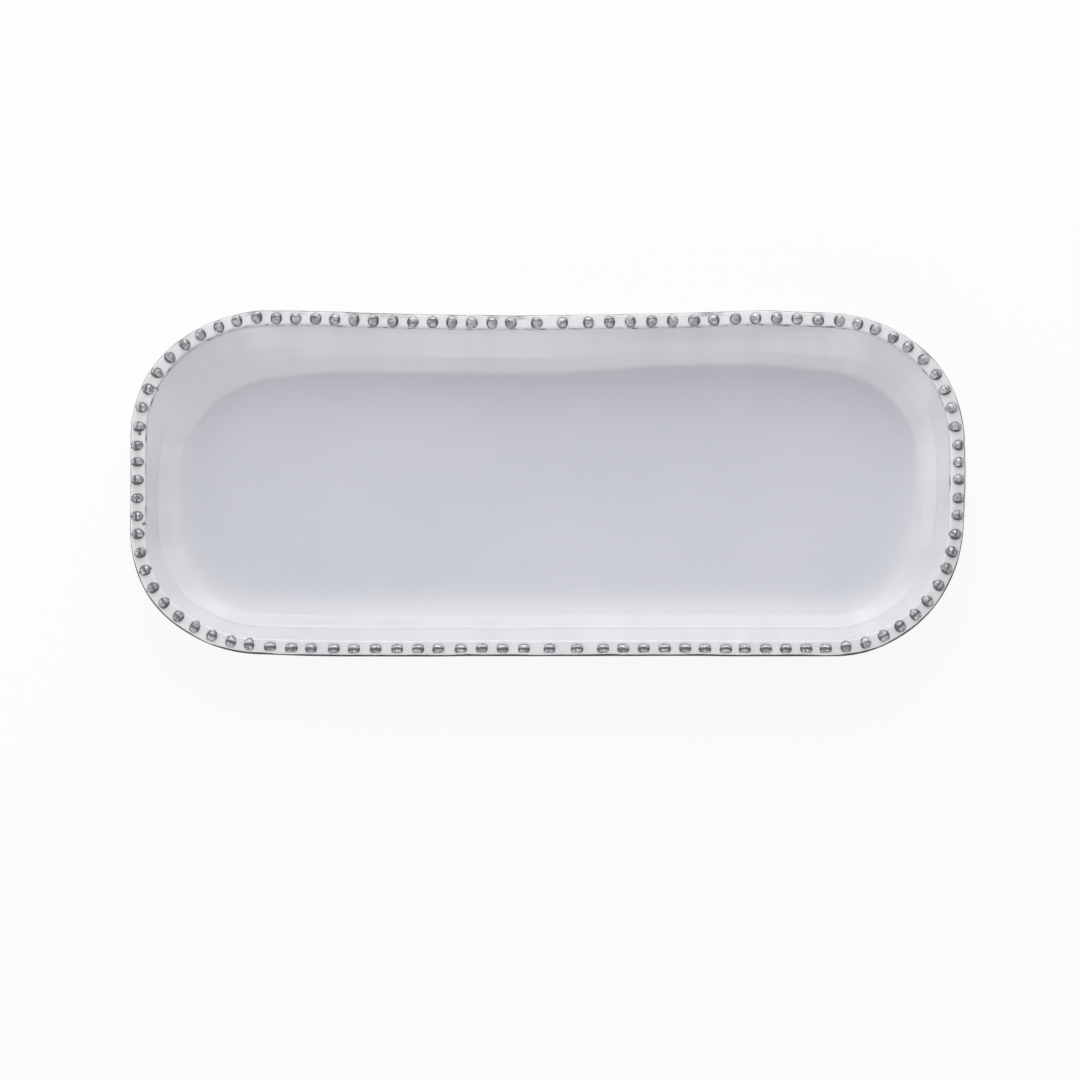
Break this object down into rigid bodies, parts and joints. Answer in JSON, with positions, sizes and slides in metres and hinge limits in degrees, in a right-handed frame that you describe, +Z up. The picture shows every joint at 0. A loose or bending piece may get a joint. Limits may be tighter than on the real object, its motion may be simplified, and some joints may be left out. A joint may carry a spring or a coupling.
{
  "type": "asparagus plate",
  "caption": "Long rounded-rectangle stoneware plate with a shallow curved well, a flat rim band set with small silvered beads, white glaze and a bare clay foot, for serving asparagus.",
  "frame": {"origin": "under the middle of the plate, on the plane of its foot", "axes": "+X along the plate's length, +Y towards its back, +Z up"},
  "size_m": [0.35, 0.15, 0.025],
  "materials": {
    "bare_clay": "unglazed grey stoneware, matt, with a fine grain",
    "white_glaze": "gloss cool white glaze, thin enough for the grey clay to tint it",
    "rim_glaze": "gloss white glaze that breaks to dark clay along the band's edges",
    "bead_glaze": "gloss white glaze brushed over with a silver lustre, darker where the brush left it thin, with white glaze round the foot of each bead"
  },
  "bodies": {
    "root": {"clay_body": "bare_clay", "foot_ring": "bare_clay", "rim_band": "rim_glaze", "well_glaze": "white_glaze", "outer_glaze": "white_glaze", "beads_back_row": "bead_glaze", "beads_front_row": "bead_glaze", "beads_left_end": "bead_glaze", "beads_right_end": "bead_glaze", "beads_back_left": "bead_glaze", "beads_back_right": "bead_glaze", "beads_front_left": "bead_glaze", "beads_front_right": "bead_glaze"}
  },
  "joints": []
}
